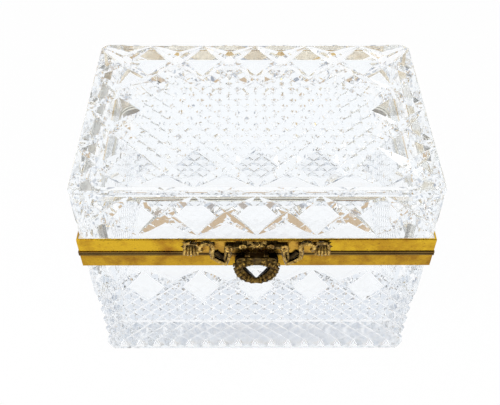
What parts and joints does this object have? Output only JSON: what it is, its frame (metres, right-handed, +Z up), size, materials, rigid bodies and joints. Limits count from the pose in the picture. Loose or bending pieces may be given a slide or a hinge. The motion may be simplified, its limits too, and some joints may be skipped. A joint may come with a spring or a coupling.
{
  "type": "glass casket box",
  "caption": "Heavy cut glass casket with brass bands round both rims, a hinged lid, and a bow clasp with a swinging laurel wreath pull.",
  "frame": {"origin": "middle of the base's underside, on the table", "axes": "+X to the right along the front, -Y out of the front with the clasp, +Z up"},
  "size_m": [0.1644, 0.1214, 0.1249],
  "materials": {
    "cut_glass": "polished",
    "brass": "polished, patinated",
    "dark_brass": "antiqued",
    "plaster": "matte"
  },
  "bodies": {
    "base": {"base_glass": "cut_glass", "lower_band": "brass", "lower_rim_plate": "brass", "lower_bedding": "plaster", "hinge_leaf_lower": "brass", "hinge_pin": "brass"},
    "lid": {"lid_glass": "cut_glass", "upper_band": "brass", "upper_rim_plate": "brass", "upper_bedding": "plaster", "hinge_leaf_upper": "brass", "clasp_plate": "dark_brass", "bow": "dark_brass", "staple": "dark_brass", "pull_pin": "brass", "catch_tongue": "brass"},
    "wreath_pull": {"wreath": "dark_brass", "wreath_eye": "dark_brass"}
  },
  "joints": [
    {"name": "lid_hinge", "type": "hinge", "parent": "base", "child": "lid", "pos_m": [0, 0.0577, 0.08485], "axis": [-1, 0, 0], "range_deg": [0, 100]},
    {"name": "wreath_swing", "type": "hinge", "parent": "lid", "child": "wreath_pull", "pos_m": [0, -0.0579, 0.0861], "axis": [-1, 0, 0], "range_deg": [0, 75]}
  ]
}
